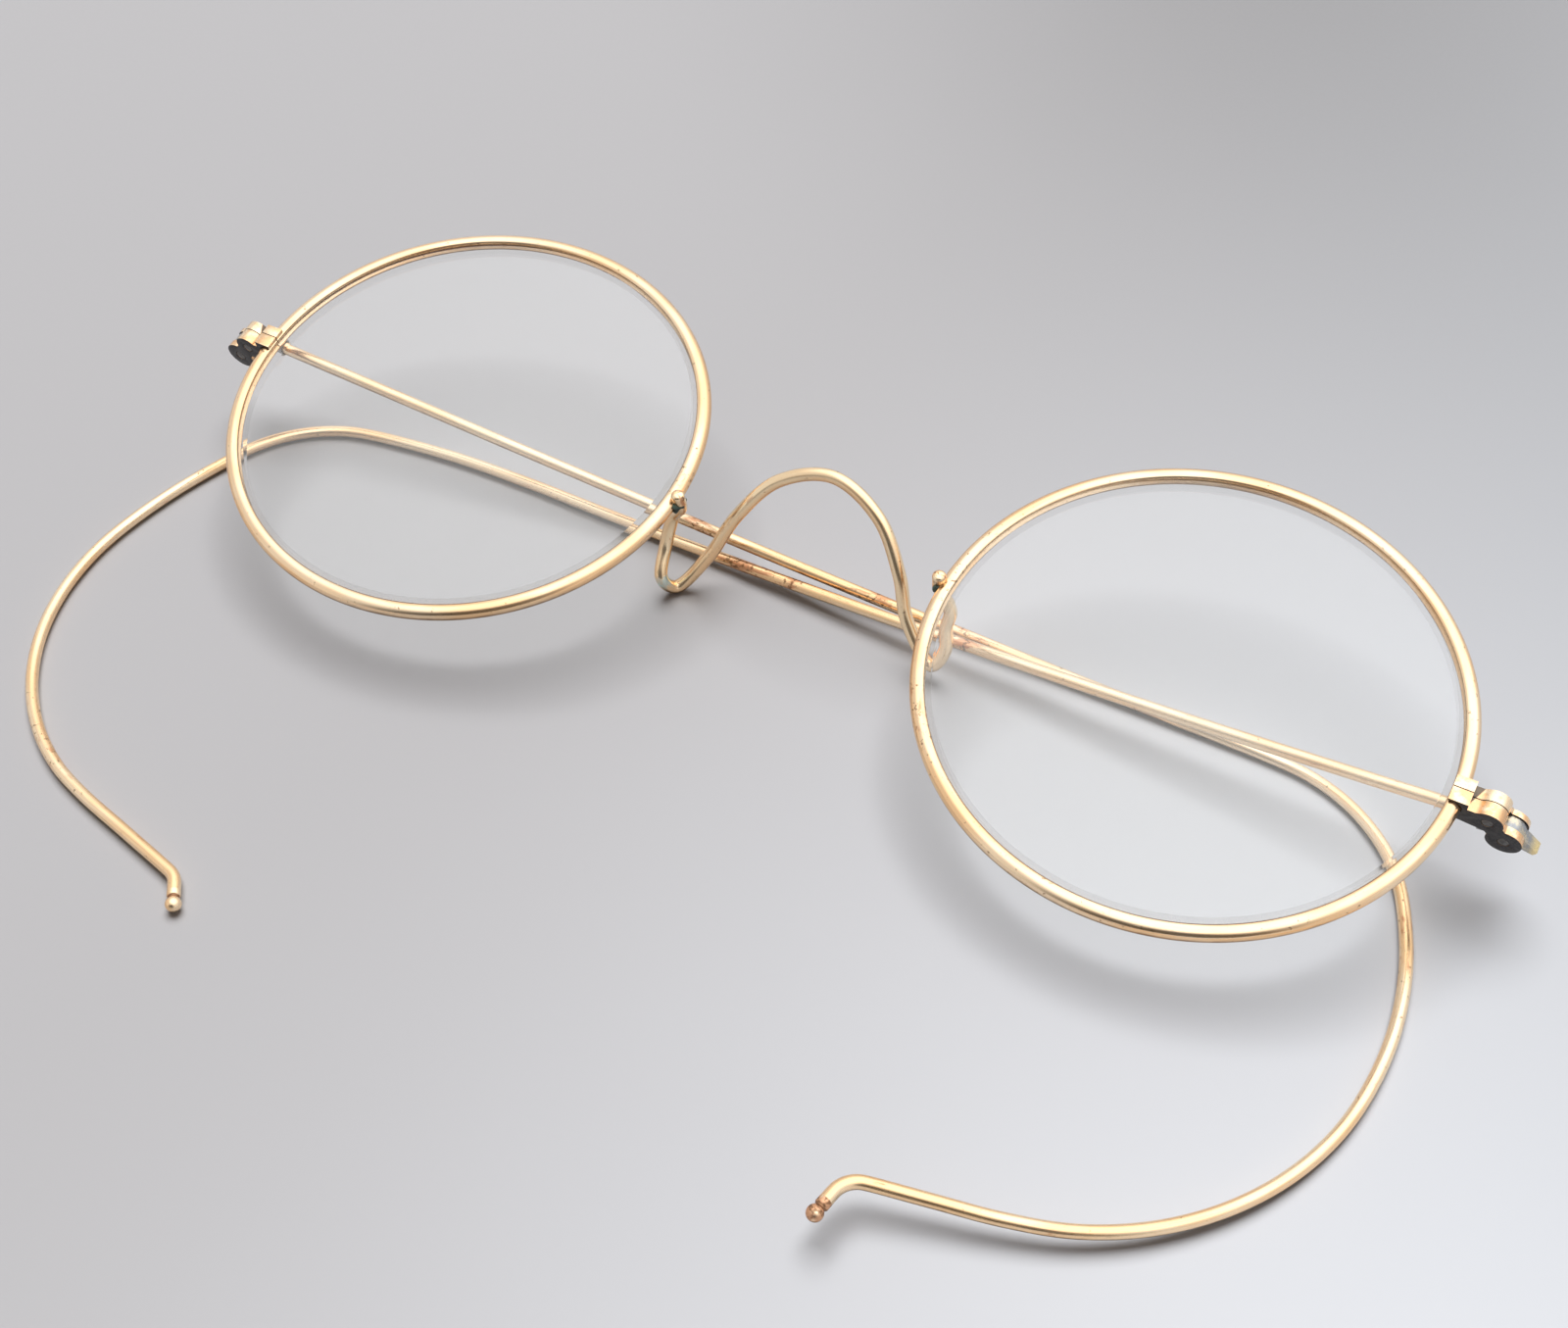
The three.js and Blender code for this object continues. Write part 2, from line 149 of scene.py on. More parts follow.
# Eased edges
PLATE_EASE = 0.07
JOINT_EASE = 0.06
SCREW_EASE = 0.03
MERGE_METRES = 2e-6
FLAT_ANGLE = math.radians(0.8)
EASED_ANGLE = math.radians(32)
# Counts
RIM_STEPS = 300
RIM_ARC_STEPS = 18
LENS_RINGS = 12
LENS_SEGMENTS = 128
BALL_STEPS = 14
BALL_SEGMENTS = 32
SIDE_SEGMENTS = 20
BRIDGE_SEGMENTS = 24
SIDE_SPANS = 10
BRIDGE_SPANS = 16

# Worn places along the wires: run from the wire's start, half length, strength
SIDE_WEAR = dict(
    right=[(41, 1.6, 1.3), (56.6, 0.7, 1.5), (61.5, 3.0, 1.5), (150, 5.0, 0.6)],
    left=[(42, 1.5, 1.4), (58, 2.5, 1.2), (66.5, 1.8, 1.3), (112, 5.0, 0.5)],
)
BRIDGE_WEAR = [(1, 1.6, 1.0), (18, 5, 0.3), (BRIDGE_RUN - 1, 1.6, 1.0)]
# Worn places round the rims: degrees from the hinge side, half length, strength
RIM_WEAR = dict(right=[(172, 14, 0.5), (212, 13, 0.8), (262, 14, 0.35)], left=[(176, 8, 0.8), (355, 6, 0.6)])
# Wear notes of the balls: the left ball's large one paints its shade copper-brown, and the right ball's is light
# wear
BALL_WEAR_AND_SHADE = dict(right=0.1, left=1.5)

NASAL = LENS_CENTRES / 2 - RIM_HALF_WIDTH
TEMPORAL = LENS_CENTRES / 2 + RIM_HALF_WIDTH
LEANING = Matrix.Rotation(LEAN, 3, "X")

# The lens frame's origin is the middle of the two eye wires
corners = [c for name in ("left_eye_wire", "right_eye_wire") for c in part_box(name)]
ORIGIN = Vector([(min(c[i] for c in corners) + max(c[i] for c in corners)) / 2 for i in range(3)])


def place(point):
    return ORIGIN + LEANING @ Vector(point) * MM


# Curves


def curve_through(points, per_span):
    """A smooth curve through the points, which stays calm where they lie close together."""
    points = [Vector(p) for p in points]
    padded = [points[0] * 2 - points[1], *points, points[-1] * 2 - points[-2]]
    out = []
    for i in range(len(points) - 1):
        p0, p1, p2, p3 = padded[i:i + 4]
        d0, d1, d2 = ((b - a).length ** 0.5 for a, b in ((p0, p1), (p1, p2), (p2, p3)))
        t1 = ((p1 - p0) / d0 - (p2 - p0) / (d0 + d1) + (p2 - p1) / d1) * d1
        t2 = ((p2 - p1) / d1 - (p3 - p1) / (d1 + d2) + (p3 - p2) / d2) * d1
        a = p1 * 2 - p2 * 2 + t1 + t2
        b = p2 * 3 - p1 * 3 - t1 * 2 - t2
        for k in range(per_span):
            s = k / per_span
            out.append(((a * s + b) * s + t1) * s + p1)
    out.append(points[-1])
    return out


def bridge_course():
    """The stations of the bridge, from its left end over the crest to its right end."""
    def half(side):
        stations = [Vector(s) for s in (SHOULDER, UPPER_LEG, *side["stations"])]
        x = NASAL - BRIDGE_END_INSET
        ends = [Vector((x, side["end"], z)) for z in (-RIM_HALF_DEPTH, BRIDGE_END_FORWARD)]
        return stations + ends

    left = [Vector((-p.x, p.y, p.z)) for p in reversed(half(LEFT_HALF))]
    return left + [Vector(CREST)] + half(RIGHT_HALF)


def pin_of(side):
    return Vector((TEMPORAL + HINGE_OUT - side["inset"], side["seam"], -HINGE_BACK))


def rest_at(y):
    """The Z of a side's wire that lies on the table, at a height up the front."""
    return SIDE_WIRE / 2 / math.cos(LEAN) - LENS_HEIGHT - y * math.tan(LEAN)


def side_course(side):
    """The course of a side's wire, from its socket to its tip."""
    pin = pin_of(side)
    length = pin.x + side["bend_at"]
    climb = side["bend_rise"] - side["rise"]
    points = []
    start = SOCKET_END - SOCKET_DEPTH
    for i in range(BOW_STEPS):
        run = start + (length - start) * i / BOW_STEPS
        share = run / length
        y = pin.y + side["rise"] + climb * share + side["bow"] * 4 * share * (1 - share)
        points.append(Vector((pin.x - run, y, rest_at(y) + (pin.z - rest_at(y)) * (1 - share) ** 2)))
    heading = math.pi - math.atan((climb - 4 * side["bow"]) / length)
    bends = [*side["arcs"], (side["end"], 0), (TIP_BEND, -side["tip_turn"]), (side["tip_length"], 0)]

    def bend_length(size, turn):
        return size if turn == 0 else size * math.radians(abs(turn))

    hook = sum(bend_length(*b) for b in bends)
    along = 0
    spot = Vector((-side["bend_at"], side["seam"] + side["bend_rise"]))

    def on_hook():
        share = max(0, along / hook - LIFT_SHARE) / (1 - LIFT_SHARE)
        return Vector((spot.x, spot.y, rest_at(spot.y) + side["lift"] * share ** 2))

    points.append(on_hook())
    for size, turn in bends:
        steps = max(2, round(abs(turn) / STEP_ANGLE))
        for _ in range(steps):
            half = math.radians(turn) / steps / 2
            chord = size / steps if turn == 0 else 2 * size * math.sin(abs(half))
            heading += half
            spot = spot + Vector((math.cos(heading), math.sin(heading))) * chord
            heading += half
            along += bend_length(size, turn) / steps
            points.append(on_hook())
    return [Vector((p.x * side["sign"], p.y, p.z)) for p in points]


# Meshes


def new_object(name, bm, material, body, node, sharp=40):
    """A piece that rides on a body, and stands in for a node of the solids where it has one."""
    mesh = bpy.data.meshes.new(name)
    bmesh.ops.recalc_face_normals(bm, faces=bm.faces)
    for face in bm.faces:
        face.smooth = True
    for edge in bm.edges:
        if len(edge.link_faces) == 2 and edge.calc_face_angle(0) > math.radians(sharp):
            edge.smooth = False
    bm.to_mesh(mesh)
    bm.free()
    obj = bpy.data.objects.new(name, mesh)
    scene.collection.objects.link(obj)
    mesh.materials.append(material)
    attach(obj, body)
    if node:
        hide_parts(node)
    return obj


def worn(run, places):
    return sum(strength * math.exp(-((run - middle) / half) ** 2) for middle, half, strength in places)


def wire_layers(bm):
    """Per-vertex notes for the materials: the run along the wire with the turn around it, and the wear, which at the
    ball ends also carries painted shade.
    """
    return bm.verts.layers.float_vector.new("round"), bm.verts.layers.float.new("wear")


def frames_along(points):
    """A section's two directions at each point, carried along without twist."""
    count = len(points)
    tangents = [(points[min(i + 1, count - 1)] - points[max(i - 1, 0)]).normalized() for i in range(count)]
    across = tangents[0].cross(Vector((0, 0, 1)))
    if across.length < 0.1:
        across = tangents[0].cross(Vector((0, 1, 0)))
    across.normalize()
    out = []
    for i, tangent in enumerate(tangents):
        if i:
            across = tangents[i - 1].rotation_difference(tangent) @ across
            across = (across - tangent * across.dot(tangent)).normalized()
        out.append((across, tangent.cross(across)))
    return out


def join_rings(bm, rings):
    """Walls between rings of equally many vertices."""
    size = len(rings[0])
    for a, b in zip(rings, rings[1:]):
        for k in range(size):
            bm.faces.new((a[k], a[(k + 1) % size], b[(k + 1) % size], b[k]))


def wire(name, points, radius, body, material, node, wear, segments, round_ends=False):
    """A round wire along the points; rounded ends are turned in over a short stretch."""
    radii = [radius] * len(points)
    points = list(points)
    if round_ends:
        for reverse in (False, True):
            if reverse:
                points.reverse()
                radii.reverse()
            out = (points[-1] - points[-2]).normalized()
            tip = points[-1]
            for turn in END_TURNS:
                a = math.radians(turn)
                points.append(tip + out * radius * END_LENGTH * math.sin(a))
                radii.append(radius * (END_FLAT + (1 - END_FLAT) * math.cos(a)))
        points.reverse()
        radii.reverse()
    bm = bmesh.new()
    round_layer, wear_layer = wire_layers(bm)
    rings = []
    run = 0
    for i, (across, up) in enumerate(frames_along(points)):
        if i:
            run += (points[i] - points[i - 1]).length
        ring = []
        for k in range(segments):
            angle = 2 * math.pi * k / segments
            out = across * math.cos(angle) + up * math.sin(angle)
            vert = bm.verts.new(place(points[i] + out * radii[i]))
            vert[round_layer] = Vector((run, math.cos(angle), math.sin(angle)))
            vert[wear_layer] = worn(run, wear)
            ring.append(vert)
        rings.append(ring)
    join_rings(bm, rings)
    bm.faces.new(list(reversed(rings[0])))
    bm.faces.new(rings[-1])
    new_object(name, bm, material, body, node)


def eye_wire(side, material):
    """Grooved wire round the lens, split at the seam."""
    bm = bmesh.new()
    round_layer, wear_layer = wire_layers(bm)
    turns = [math.pi * (1 + i / RIM_ARC_STEPS) for i in range(RIM_ARC_STEPS + 1)]
    section = [(RIM_HALF_DEPTH * math.cos(a), RIM_OUTSIDE * math.sin(a)) for a in turns]
    shoulder = GROOVE_HALF_WIDTH + (RIM_HALF_DEPTH - GROOVE_HALF_WIDTH) / 2
    inner = [(RIM_HALF_DEPTH * depth, RIM_INSIDE * rise) for depth, rise in RIM_FLANK]
    inner += [(shoulder + LIP_OUT, RIM_INSIDE * LIP_RISE), (shoulder - LIP_IN, RIM_INSIDE),
              (GROOVE_HALF_WIDTH, RIM_INSIDE)]
    section += inner + [(0, RIM_INSIDE - GROOVE_DEPTH)] + [(-x, y) for x, y in reversed(inner)]
    seam = math.asin(side["seam"] / RIM_HALF_HEIGHT)
    half_split = RIM_SPLIT / 2 / RIM_HALF_HEIGHT
    rings = []
    for i in range(RIM_STEPS + 1):
        angle = seam + half_split + (2 * math.pi - 2 * half_split) * i / RIM_STEPS
        c, s = math.cos(angle), math.sin(angle)
        centre = Vector((LENS_CENTRES / 2 + RIM_HALF_WIDTH * c, RIM_HALF_HEIGHT * s, 0))
        inward = -Vector((RIM_HALF_HEIGHT * c, RIM_HALF_WIDTH * s, 0)).normalized()
        ring = []
        for depth, across in section:
            p = centre + inward * across + Vector((0, 0, depth))
            vert = bm.verts.new(place((p.x * side["sign"], p.y, p.z)))
            turn = math.atan2(across, depth)
            vert[round_layer] = Vector((RIM_HALF_WIDTH * angle, math.cos(turn), math.sin(turn)))
            vert[wear_layer] = worn(math.degrees(angle), RIM_WEAR[side["name"]])
            ring.append(vert)
        rings.append(ring)
    join_rings(bm, rings)
    bm.faces.new(rings[0])
    bm.faces.new(rings[-1])
    name = side["name"] + "_eye_wire"
    new_object(name + "_drawn", bm, material, "front", name, sharp=35)


def lathe(profile, segments):
    """A turned solid about +Z from (radius, height) pairs that start and end on the axis."""
    bm = bmesh.new()
    rings = []
    for radius, height in profile:
        if radius < 1e-6:
            rings.append([bm.verts.new((0, 0, height))])
        else:
            turns = [2 * math.pi * k / segments for k in range(segments)]
            rings.append([bm.verts.new((radius * math.cos(t), radius * math.sin(t), height)) for t in turns])
    for a, b in zip(rings, rings[1:]):
        for k in range(segments):
            n = (k + 1) % segments
            if len(a) == 1:
                bm.faces.new((a[0], b[n], b[k]))
            elif len(b) == 1:
                bm.faces.new((a[k], a[n], b[0]))
            else:
                bm.faces.new((a[k], a[n], b[n], b[k]))
    return bm


def lens(side, material, bevel_material):
    """A lens with a flat back, a domed front and a bevelled edge of its own material."""
    land = LENS_TIP - BEVEL_LENGTH
    profile = [(0, -LENS_EDGE / 2), (land * 0.5, -LENS_EDGE / 2), (land, -LENS_EDGE / 2), (LENS_TIP, 0)]
    for i in range(LENS_RINGS + 1):
        radius = land * (1 - i / LENS_RINGS)
        profile.append((radius, LENS_EDGE / 2 + LENS_DOME * (1 - (radius / land) ** 2)))
    bm = lathe(profile, LENS_SEGMENTS)
    for face in bm.faces:
        face.material_index = int(math.hypot(*face.calc_center_median().xy) > land)
    squeeze = (LENS_TIP - RIM_HALF_WIDTH + RIM_HALF_HEIGHT) / LENS_TIP
    for v in bm.verts:
        v.co = place((v.co.x + LENS_CENTRES / 2 * side["sign"], v.co.y * squeeze, v.co.z))
    name = side["name"] + "_lens"
    obj = new_object(name + "_ground", bm, material, "front", name, sharp=25)
    obj.data.materials.append(bevel_material)


def ball_end(side, course, material):
    """A collar flush with the wire, a turned groove made dark with painted shade, and a ball."""
    reach = math.asin(BALL_NECK / BALL_RADIUS)
    neck_end = COLLAR_LENGTH + NECK_LENGTH
    centre = neck_end + BALL_RADIUS * math.cos(reach)
    profile = [(0, 0), (BALL_COLLAR, 0), (BALL_COLLAR, COLLAR_LENGTH * COLLAR_STRAIGHT),
               (BALL_COLLAR * COLLAR_RIM, COLLAR_LENGTH)]
    profile += [(BALL_NECK * radius, COLLAR_LENGTH + NECK_LENGTH * run) for radius, run in NECK_PROFILE]
    for i in range(BALL_STEPS + 1):
        angle = reach + (math.pi - reach) * i / BALL_STEPS
        radius = 0 if i == BALL_STEPS else BALL_RADIUS * math.sin(angle)
        profile.append((radius, centre - BALL_RADIUS * math.cos(angle)))
    bm = lathe(profile, BALL_SEGMENTS)
    round_layer, wear_layer = wire_layers(bm)
    turn = Vector((0, 0, 1)).rotation_difference((course[-1] - course[-2]).normalized())
    for v in bm.verts:
        v[round_layer] = Vector((v.co.z, v.co.x, v.co.y))
        # Painted shade: the groove and the left ball get large wear notes, which the gold turns dark copper-brown
        in_groove = COLLAR_LENGTH < v.co.z < neck_end + GROOVE_END
        v[wear_layer] = GROOVE_SHADE if in_groove else BALL_WEAR_AND_SHADE[side["name"]]
        v.co = place(course[-1] + turn @ v.co)
    name = side["name"] + "_ball_end"
    new_object(name + "_turned", bm, material, side["name"] + "_side", name, sharp=38)


def eased(node, body, material, width):
    """A machined piece with its solid's own shape and eased edges."""
    bm = bmesh.new()
    bm.from_mesh(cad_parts[node].data)
    bmesh.ops.remove_doubles(bm, verts=bm.verts, dist=MERGE_METRES)
    bmesh.ops.dissolve_limit(bm, angle_limit=FLAT_ANGLE, verts=bm.verts, edges=bm.edges)
    edges = [e for e in bm.edges if len(e.link_faces) == 2 and e.calc_face_angle(0) > EASED_ANGLE]
    bmesh.ops.bevel(bm, geom=edges, offset=width * MM, offset_type="OFFSET", segments=2, profile=0.5,
                    affect="EDGES", clamp_overlap=True)
    new_object(node + "_eased", bm, material, body, node, sharp=38)


def solder(name, centre, axis, material):
    """A small uneven fillet of solder where two wires meet."""
    bm = bmesh.new()
    bmesh.ops.create_icosphere(bm, subdivisions=4, radius=1)
    turn = Vector((0, 0, 1)).rotation_difference(Vector(axis).normalized())
    for v in bm.verts:
        n = v.co.normalized()
        swell = 1 + sum(height * math.sin(n.dot(Vector(wave))) for height, wave in SOLDER_WAVES)
        v.co = place(Vector(centre) + turn @ (n * Vector(SOLDER_SIZE)) * swell)
    new_object(name, bm, material, "front", None, sharp=180)


# Materials


class Graph:
    """Small helper that adds and links shader nodes."""

    def __init__(self, tree):
        self.tree = tree
        self.tree.nodes.clear()

    def link(self, a, b):
        self.tree.links.new(a, b)

    def add(self, kind, **settings):
        node = self.tree.nodes.new(kind)
        for key, value in settings.items():
            setattr(node, key, value)
        return node

    def feed(self, socket, value):
        if hasattr(value, "is_output"):
            self.link(value, socket)
        else:
            socket.default_value = value

    def noise(self, vector, scale, detail, roughness):
        node = self.add("ShaderNodeTexNoise")
        self.link(vector, node.inputs["Vector"])
        node.inputs["Scale"].default_value = scale
        node.inputs["Detail"].default_value = detail
        node.inputs["Roughness"].default_value = roughness
        return node.outputs["Fac"]

    def span(self, value, start, end, low=0.0, high=1.0):
        """A smooth step from low to high as the value runs from start to end."""
        node = self.add("ShaderNodeMapRange", interpolation_type="SMOOTHSTEP")
        self.link(value, node.inputs["Value"])
        for key, number in zip(("From Min", "From Max", "To Min", "To Max"), (start, end, low, high)):
            node.inputs[key].default_value = number
        return node.outputs["Result"]

    def math(self, operation, a, b=0.0):
        node = self.add("ShaderNodeMath", operation=operation)
        self.feed(node.inputs[0], a)
        self.feed(node.inputs[1], b)
        return node.outputs[0]

    def times(self, a, b):
        return self.math("MULTIPLY", a, b)

    def plus(self, a, b, share=1.0):
        """A value with a share of another one added."""
        return self.math("ADD", a, b if share == 1.0 else self.times(b, share))

    def ragged(self, value, noise, reach):
        """A value that a noise about one half shifts up and down."""
        return self.plus(value, self.math("SUBTRACT", noise, 0.5), reach)

    def either(self, a, b):
        return self.math("MAXIMUM", a, b)

    def mix(self, factor, a, b):
        """A mix of two colours."""
        node = self.add("ShaderNodeMix", data_type="RGBA")
        for index, value in ((0, factor), (6, a), (7, b)):
            self.feed(node.inputs[index], value)
        return node.outputs[2]

    def choose(self, factor, a, b):
        """A mix of two strengths."""
        node = self.add("ShaderNodeMix", data_type="FLOAT")
        for index, value in ((0, factor), (2, a), (3, b)):
            self.feed(node.inputs[index], value)
        return node.outputs[0]

    def coordinates(self, which="Object"):
        return self.add("ShaderNodeTexCoord").outputs[which]

    def attribute(self, name, which):
        return self.add("ShaderNodeAttribute", attribute_name=name).outputs[which]

    def vector(self, operation, a, b, output):
        """What a vector operation makes of a socket and a constant."""
        node = self.add("ShaderNodeVectorMath", operation=operation)
        self.link(a, node.inputs[0])
        node.inputs[1].default_value = b
        return node.outputs[output]

    def along(self, vector, direction):
        return self.vector("DOT_PRODUCT", vector, direction, "Value")

    def facing(self, direction):
        """How far the surface faces a direction of the lens frame."""
        return self.along(self.coordinates("Normal"), LEANING @ Vector(direction).normalized())

    def stretched(self, vector, scale):
        node = self.add("ShaderNodeMapping")
        self.link(vector, node.inputs["Vector"])
        node.inputs["Scale"].default_value = scale
        return node.outputs[0]


class Surface(Graph):
    """A material with one main shader."""

    def __init__(self, name):
        self.material = bpy.data.materials.new(name)
        self.material.use_nodes = True
        super().__init__(self.material.node_tree)
        self.out = self.add("ShaderNodeOutputMaterial")
        self.shader = self.add("ShaderNodeBsdfPrincipled")
        self.link(self.shader.outputs[0], self.out.inputs["Surface"])

    def set(self, **sockets):
        """Feeds the shader's sockets, each named in small letters with underscores."""
        for key, value in sockets.items():
            name = " ".join(w.upper() if w == "ior" else w.capitalize() for w in key.split("_"))
            self.feed(self.shader.inputs[name], value)

    def bump(self, height, strength, distance):
        node = self.add("ShaderNodeBump")
        node.inputs["Strength"].default_value = strength
        node.inputs["Distance"].default_value = distance
        self.link(height, node.inputs["Height"])
        self.link(node.outputs[0], self.shader.inputs["Normal"])

    def clear(self, share, colour=(1, 1, 1, 1)):
        """Lets a share of the light straight through."""
        open_air = self.add("ShaderNodeBsdfTransparent")
        open_air.inputs["Color"].default_value = colour
        mixer = self.add("ShaderNodeMixShader")
        self.feed(mixer.inputs[0], share)
        self.link(self.shader.outputs[0], mixer.inputs[1])
        self.link(open_air.outputs[0], mixer.inputs[2])
        self.link(mixer.outputs[0], self.out.inputs["Surface"])


GOLD = (0.95, 0.625, 0.34, 1)
PALE_GOLD = (0.98, 0.76, 0.51, 1)
RIM_GOLD = (0.92, 0.59, 0.32, 1)
PALE_RIM_GOLD = (0.955, 0.725, 0.485, 1)
BRIDGE_GOLD = (0.95, 0.635, 0.36, 1)
PALE_BRIDGE_GOLD = (0.98, 0.765, 0.495, 1)
ORANGE_GOLD = (0.88, 0.53, 0.28, 1)
HEEL_GOLD = (0.93, 0.74, 0.38, 1)
COPPER = (0.62, 0.29, 0.15, 1)
BROWN = (0.17, 0.085, 0.04, 1)
BLOOM = (0.50, 0.71, 0.72, 1)
# Dark colours of the endpieces, for their black tarnish underneath and for painted shade in their corners and recess
DARK_PATINA_AND_SHADE = (0.030, 0.029, 0.031, 1)
WORN_PATINA_AND_SHADE = (0.085, 0.080, 0.078, 1)
JOINT_GREY = (0.36, 0.37, 0.38, 1)
JOINT_TAN = (0.62, 0.55, 0.42, 1)
JOINT_PITS = (0.07, 0.065, 0.06, 1)
DARK_STEEL = (0.09, 0.085, 0.08, 1)
STEEL = (0.22, 0.21, 0.2, 1)
DARK_VERDIGRIS = (0.045, 0.06, 0.05, 1)
VERDIGRIS = (0.10, 0.16, 0.13, 1)
SOLDER_FLECKS = (0.42, 0.34, 0.22, 1)
GLASS = (0.985, 0.992, 0.988, 1)
GLASS_SHADE = (0.97, 0.973, 0.971, 1)
BEVEL = (0.86, 0.87, 0.87, 1)
BEVEL_DIRT = (0.74, 0.72, 0.67, 1)
TABLE = (0.509, 0.507, 0.524, 1)
# The table's colour where a pool of light is painted on it
LIT_TABLE = (0.875, 0.913, 0.975, 1)
BLACK = (0, 0, 0, 1)

# Metres in the shared frame
FINE_BUMP = 0.00003
PLATE_BUMP = 0.00004
SOLDER_BUMP = 0.00006
TABLE_BUMP = 0.00002
# How far the endpieces' painted corner shade reaches
CORNER_SHADE_REACH = 0.0009
HEEL_GOLD_FROM = 0.0571
HEEL_GOLD_TO = 0.0578
DEPOSIT_CORE = 0.0004
DEPOSIT_END = 0.0009
DEPOSIT_RAGGED = 0.0012
# Millimetres in the lens frame: where the bridge's deposit lies, and the crescent of painted shade in an endpiece's
# recess
DEPOSIT = (-11.9, -3.9, -7.0)
CRESCENT_WIDTH = 0.36
CRESCENT_SLOPE = 0.42
CRESCENT_SOFT = 0.04


def gold_wire(name, rub, polish, under_shade, tint=GOLD, pale=PALE_GOLD, deposit=None):
    """Drawn gold-filled wire: faint lengthwise scratches, pale and rosy stretches, copper where it is worn
    (rub: where that starts and is full), a brown underside that is partly tarnish and partly painted shade
    for the shadowed table it mirrors (under_shade: where that starts and is full, and its strength), and a
    pale bluish deposit round a point."""
    n = Surface(name)
    course = n.attribute("round", "Vector")
    wear = n.attribute("wear", "Fac")
    body = n.coordinates()
    streaks = n.noise(n.stretched(course, (0.35, 9, 9)), scale=1.0, detail=5, roughness=0.6)
    stretches = n.noise(n.stretched(course, (0.10, 0.5, 0.5)), scale=1.0, detail=3, roughness=0.5)
    patches = n.noise(n.stretched(course, (0.55, 1.3, 1.3)), scale=1.0, detail=5, roughness=0.6)
    specks = n.noise(body, scale=2600, detail=3, roughness=0.6)
    rubbed = n.span(n.plus(patches, wear, share=0.17), *rub)
    pitted = n.span(n.plus(specks, wear, share=0.10), 0.66, 0.74)
    # Painted shade: where the wire faces down it turns brown, partly tarnish and partly the shadowed table it
    # mirrors
    facing_down = n.ragged(n.facing((0, -0.5, -1)), patches, reach=0.7)
    under_shade_start, under_shade_full, under_shade_strength = under_shade
    colour = n.mix(n.span(stretches, 0.38, 0.66), pale, tint)
    colour = n.mix(n.times(rubbed, 0.8), colour, COPPER)
    colour = n.mix(n.span(facing_down, under_shade_start, under_shade_full, high=under_shade_strength), colour, BROWN)
    colour = n.mix(n.times(pitted, 0.75), colour, BROWN)
    if deposit:
        edge = n.ragged(n.vector("DISTANCE", body, deposit, "Value"), specks, DEPOSIT_RAGGED)
        colour = n.mix(n.span(edge, DEPOSIT_CORE, DEPOSIT_END, low=0.75, high=0.0), colour, BLOOM)
    roughness = n.plus(n.span(streaks, 0.3, 0.75, *polish), rubbed, share=0.16)
    n.set(base_color=colour, metallic=1, roughness=roughness)
    relief = n.plus(n.times(streaks, 0.6), specks, share=0.4)
    n.bump(n.plus(relief, pitted, share=-0.8), strength=0.14, distance=FINE_BUMP)
    return n.material


def recess_shade(n, body):
    """Painted shade in the recess between an endpiece's tab and its block: a dark crescent that runs out below the
    seam.
    """
    spot = n.vector("SUBTRACT", body, ORIGIN, "Vector")
    outward = n.math("ABSOLUTE", n.along(spot, (1, 0, 0)))
    forward = n.along(spot, LEANING @ Vector((0, 0, 1)))
    upward = n.along(spot, LEANING @ Vector((0, 1, 0)))
    start = TEMPORAL + TAB_LENGTH
    end = start + CRESCENT_WIDTH
    past_tab = n.span(outward, (start - 0.03) * MM, (start + 0.03) * MM)
    short_of_block = n.span(n.plus(outward, upward, share=-CRESCENT_SLOPE), (end - 2 * CRESCENT_SOFT) * MM,
                            (end + CRESCENT_SOFT) * MM, low=1.0, high=0.0)
    sunk = n.span(forward, (TAB_FRONT - 0.22) * MM, (TAB_FRONT - 0.06) * MM, low=0.85, high=0.0)
    return n.times(n.times(past_tab, short_of_block), sunk)


def plate_gold(name, warmth):
    """Machined gold on the endpieces: rosy and orange patches (warmth: where they start and are full), dark
    painted shade in the corners and the recess, and black tarnish underneath."""
    n = Surface(name)
    body = n.coordinates()
    blotch = n.noise(body, scale=900, detail=4, roughness=0.6)
    grain = n.noise(body, scale=5200, detail=3, roughness=0.6)
    colour = n.mix(n.span(blotch, *warmth), PALE_GOLD, ORANGE_GOLD)
    colour = n.mix(n.times(n.span(grain, 0.60, 0.74), 0.6), colour, COPPER)
    # The dark colours: black tarnish underneath, and painted shade in the corners and the recess
    patina_and_shade = n.mix(n.span(grain, 0.35, 0.7), DARK_PATINA_AND_SHADE, WORN_PATINA_AND_SHADE)
    under = n.ragged(n.facing((0, -1, 0)), blotch, reach=0.5)
    # Painted shade: corners that the occlusion node finds closed in go dark
    occlusion = n.add("ShaderNodeAmbientOcclusion", samples=8)
    occlusion.inputs["Distance"].default_value = CORNER_SHADE_REACH
    corner_shade = n.span(occlusion.outputs["AO"], 0.25, 0.6, low=0.85, high=0.0)
    dark = n.either(n.either(n.span(under, 0.45, 0.75), corner_shade), recess_shade(n, body))
    n.set(
        base_color=n.mix(dark, colour, patina_and_shade),
        metallic=n.span(dark, 0.0, 1.0, low=1.0, high=0.45),
        roughness=n.plus(n.span(dark, 0.0, 1.0, low=0.20, high=0.42), n.span(grain, 0.3, 0.7, high=0.1)),
    )
    n.bump(n.plus(n.times(blotch, 0.5), grain, share=0.5), strength=0.25, distance=PLATE_BUMP)
    return n.material


